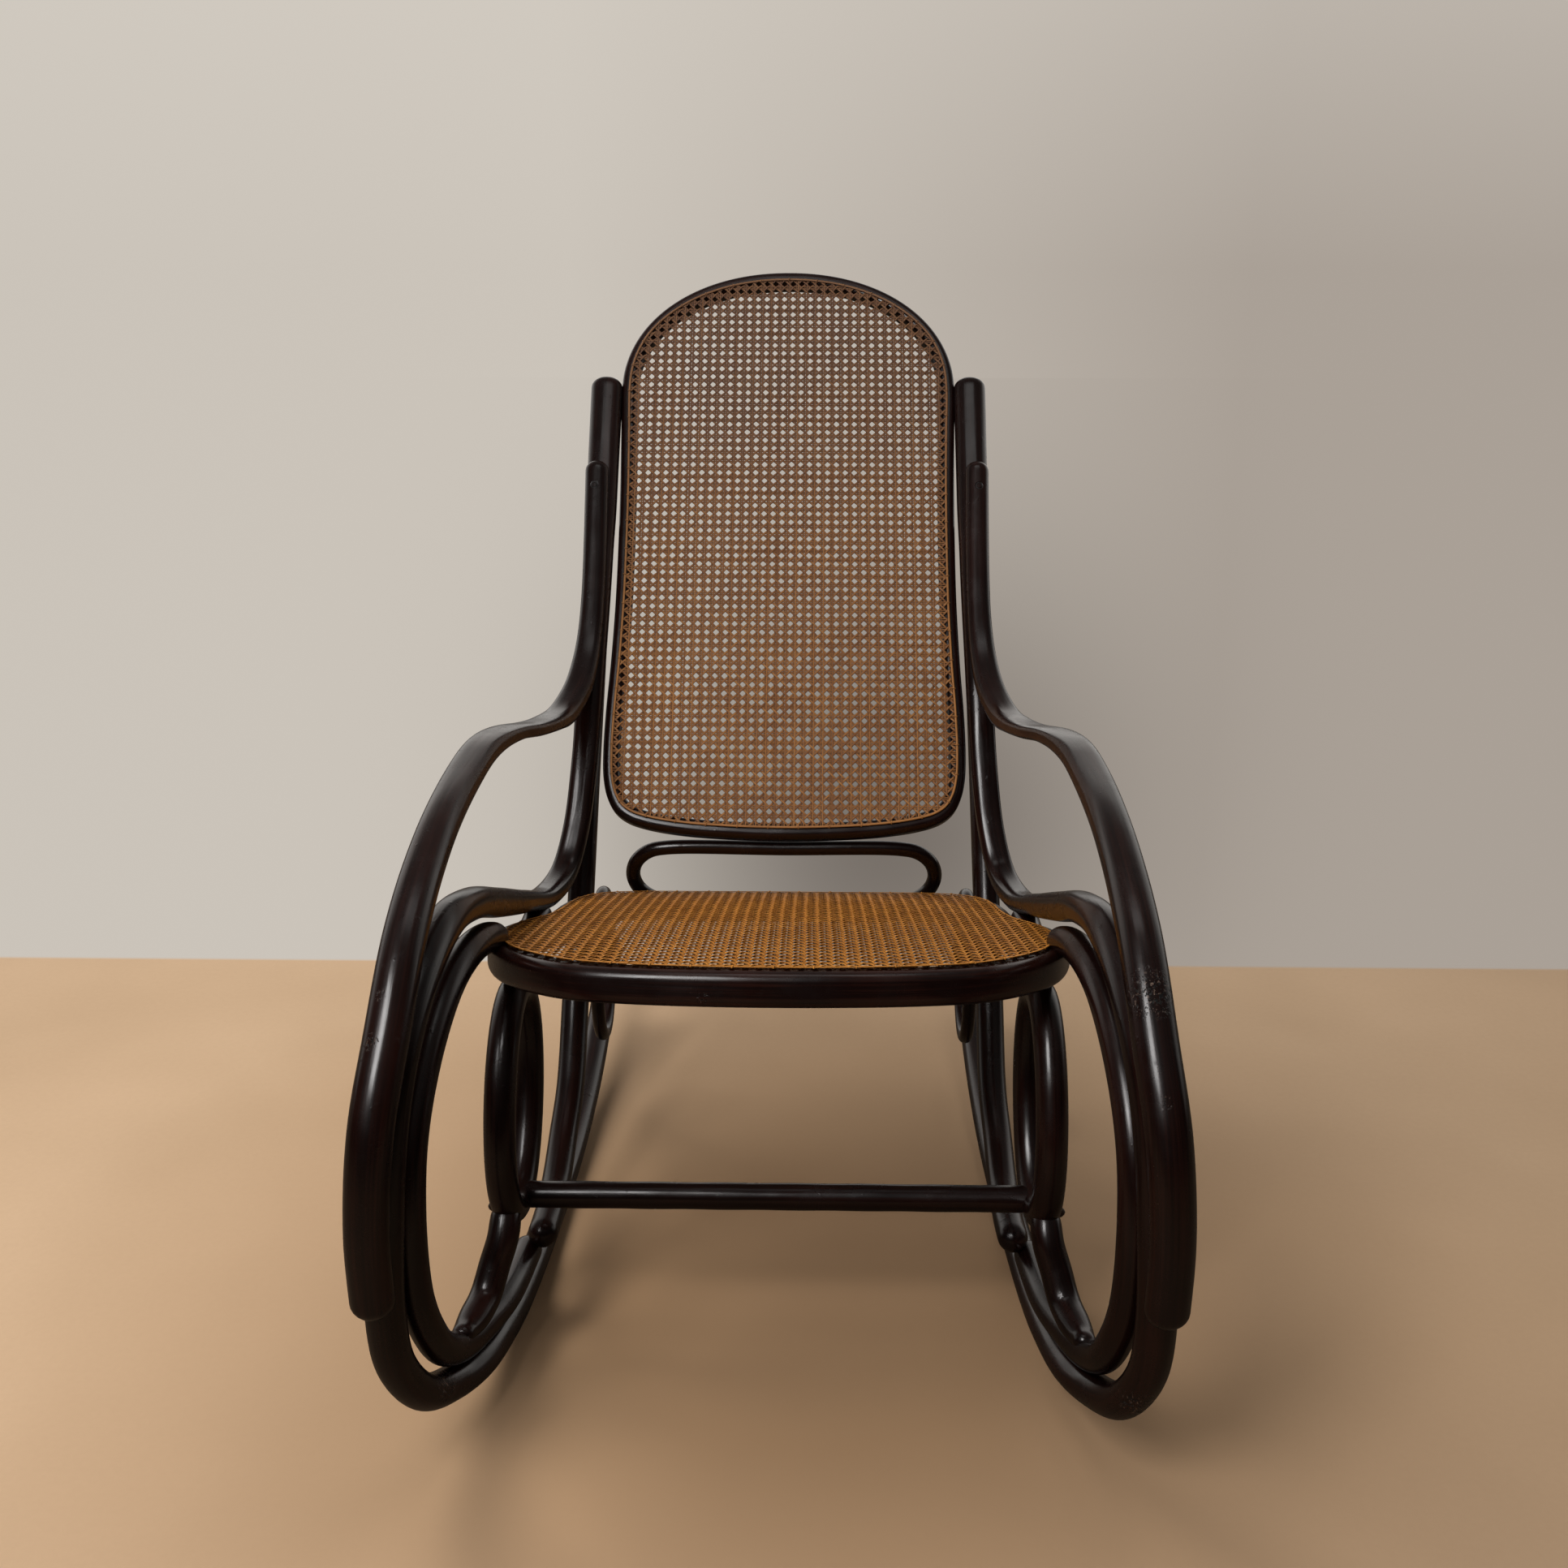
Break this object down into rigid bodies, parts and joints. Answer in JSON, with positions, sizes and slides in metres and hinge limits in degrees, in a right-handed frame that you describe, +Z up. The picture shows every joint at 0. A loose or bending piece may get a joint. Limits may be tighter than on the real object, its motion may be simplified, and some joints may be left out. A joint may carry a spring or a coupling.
{
  "type": "bentwood rocking chair",
  "caption": "Bentwood rocking chair with scrolled side frames, sweeping arms, long curved runners, and a caned seat and arched caned back.",
  "frame": {"origin": "centre of the overall bounding box, on the floor that the runners stand on", "axes": "+Z up, -Y towards the front of the chair where the sitter's knees are, +X towards the right of somebody who looks at the front"},
  "size_m": [0.663, 1.1014, 1.0126],
  "materials": {
    "bentwood": "dark french-polished beech, glossy",
    "seat_cane": "woven rattan cane, satin, golden",
    "back_cane": "woven rattan cane, satin, light brown",
    "bolt_steel": "blackened"
  },
  "bodies": {
    "root": {"left_main_scroll": "bentwood", "left_arm_rail": "bentwood", "left_inner_loop": "bentwood", "left_oval_ring": "bentwood", "left_lower_brace": "bentwood", "left_rear_upright": "bentwood", "left_rear_loop": "bentwood", "left_seat_block": "bentwood", "left_stretcher_bolt": "bolt_steel", "right_main_scroll": "bentwood", "right_arm_rail": "bentwood", "right_inner_loop": "bentwood", "right_oval_ring": "bentwood", "right_lower_brace": "bentwood", "right_rear_upright": "bentwood", "right_rear_loop": "bentwood", "right_seat_block": "bentwood", "right_stretcher_bolt": "bolt_steel", "front_stretcher": "bentwood", "seat_ring": "bentwood", "seat_cane": "seat_cane", "back_frame": "bentwood", "back_cane": "back_cane", "back_oval": "bentwood"}
  },
  "joints": []
}
